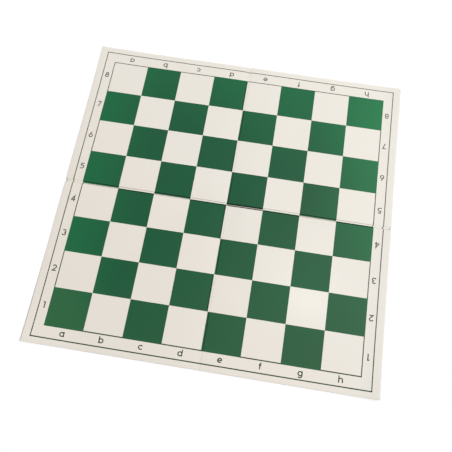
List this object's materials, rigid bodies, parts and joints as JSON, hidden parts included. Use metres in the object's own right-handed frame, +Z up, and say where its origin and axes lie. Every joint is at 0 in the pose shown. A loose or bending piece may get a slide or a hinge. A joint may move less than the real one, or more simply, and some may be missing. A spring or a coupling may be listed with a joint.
{
  "type": "vinyl chess board",
  "caption": "Square folding vinyl game board laid open, with a chequered green and cream field, two printed lines, crossing pressed creases and slightly curled corners.",
  "frame": {"origin": "middle of the sheet on the table it lies on, under the point where the two creases cross", "axes": "+Z up from the table, +Y from the first rank to the eighth, +X from the a file to the h file"},
  "size_m": [0.512, 0.512, 0.0042],
  "materials": {
    "cream_vinyl": "satin calendered soft PVC, cream",
    "green_ink": "satin printed ink, dark green",
    "line_ink": "satin printed ink, dark grey-green"
  },
  "bodies": {
    "root": {"vinyl_sheet": "cream_vinyl", "dark_squares": "green_ink", "field_outline": "line_ink", "border_line": "line_ink"}
  },
  "joints": []
}
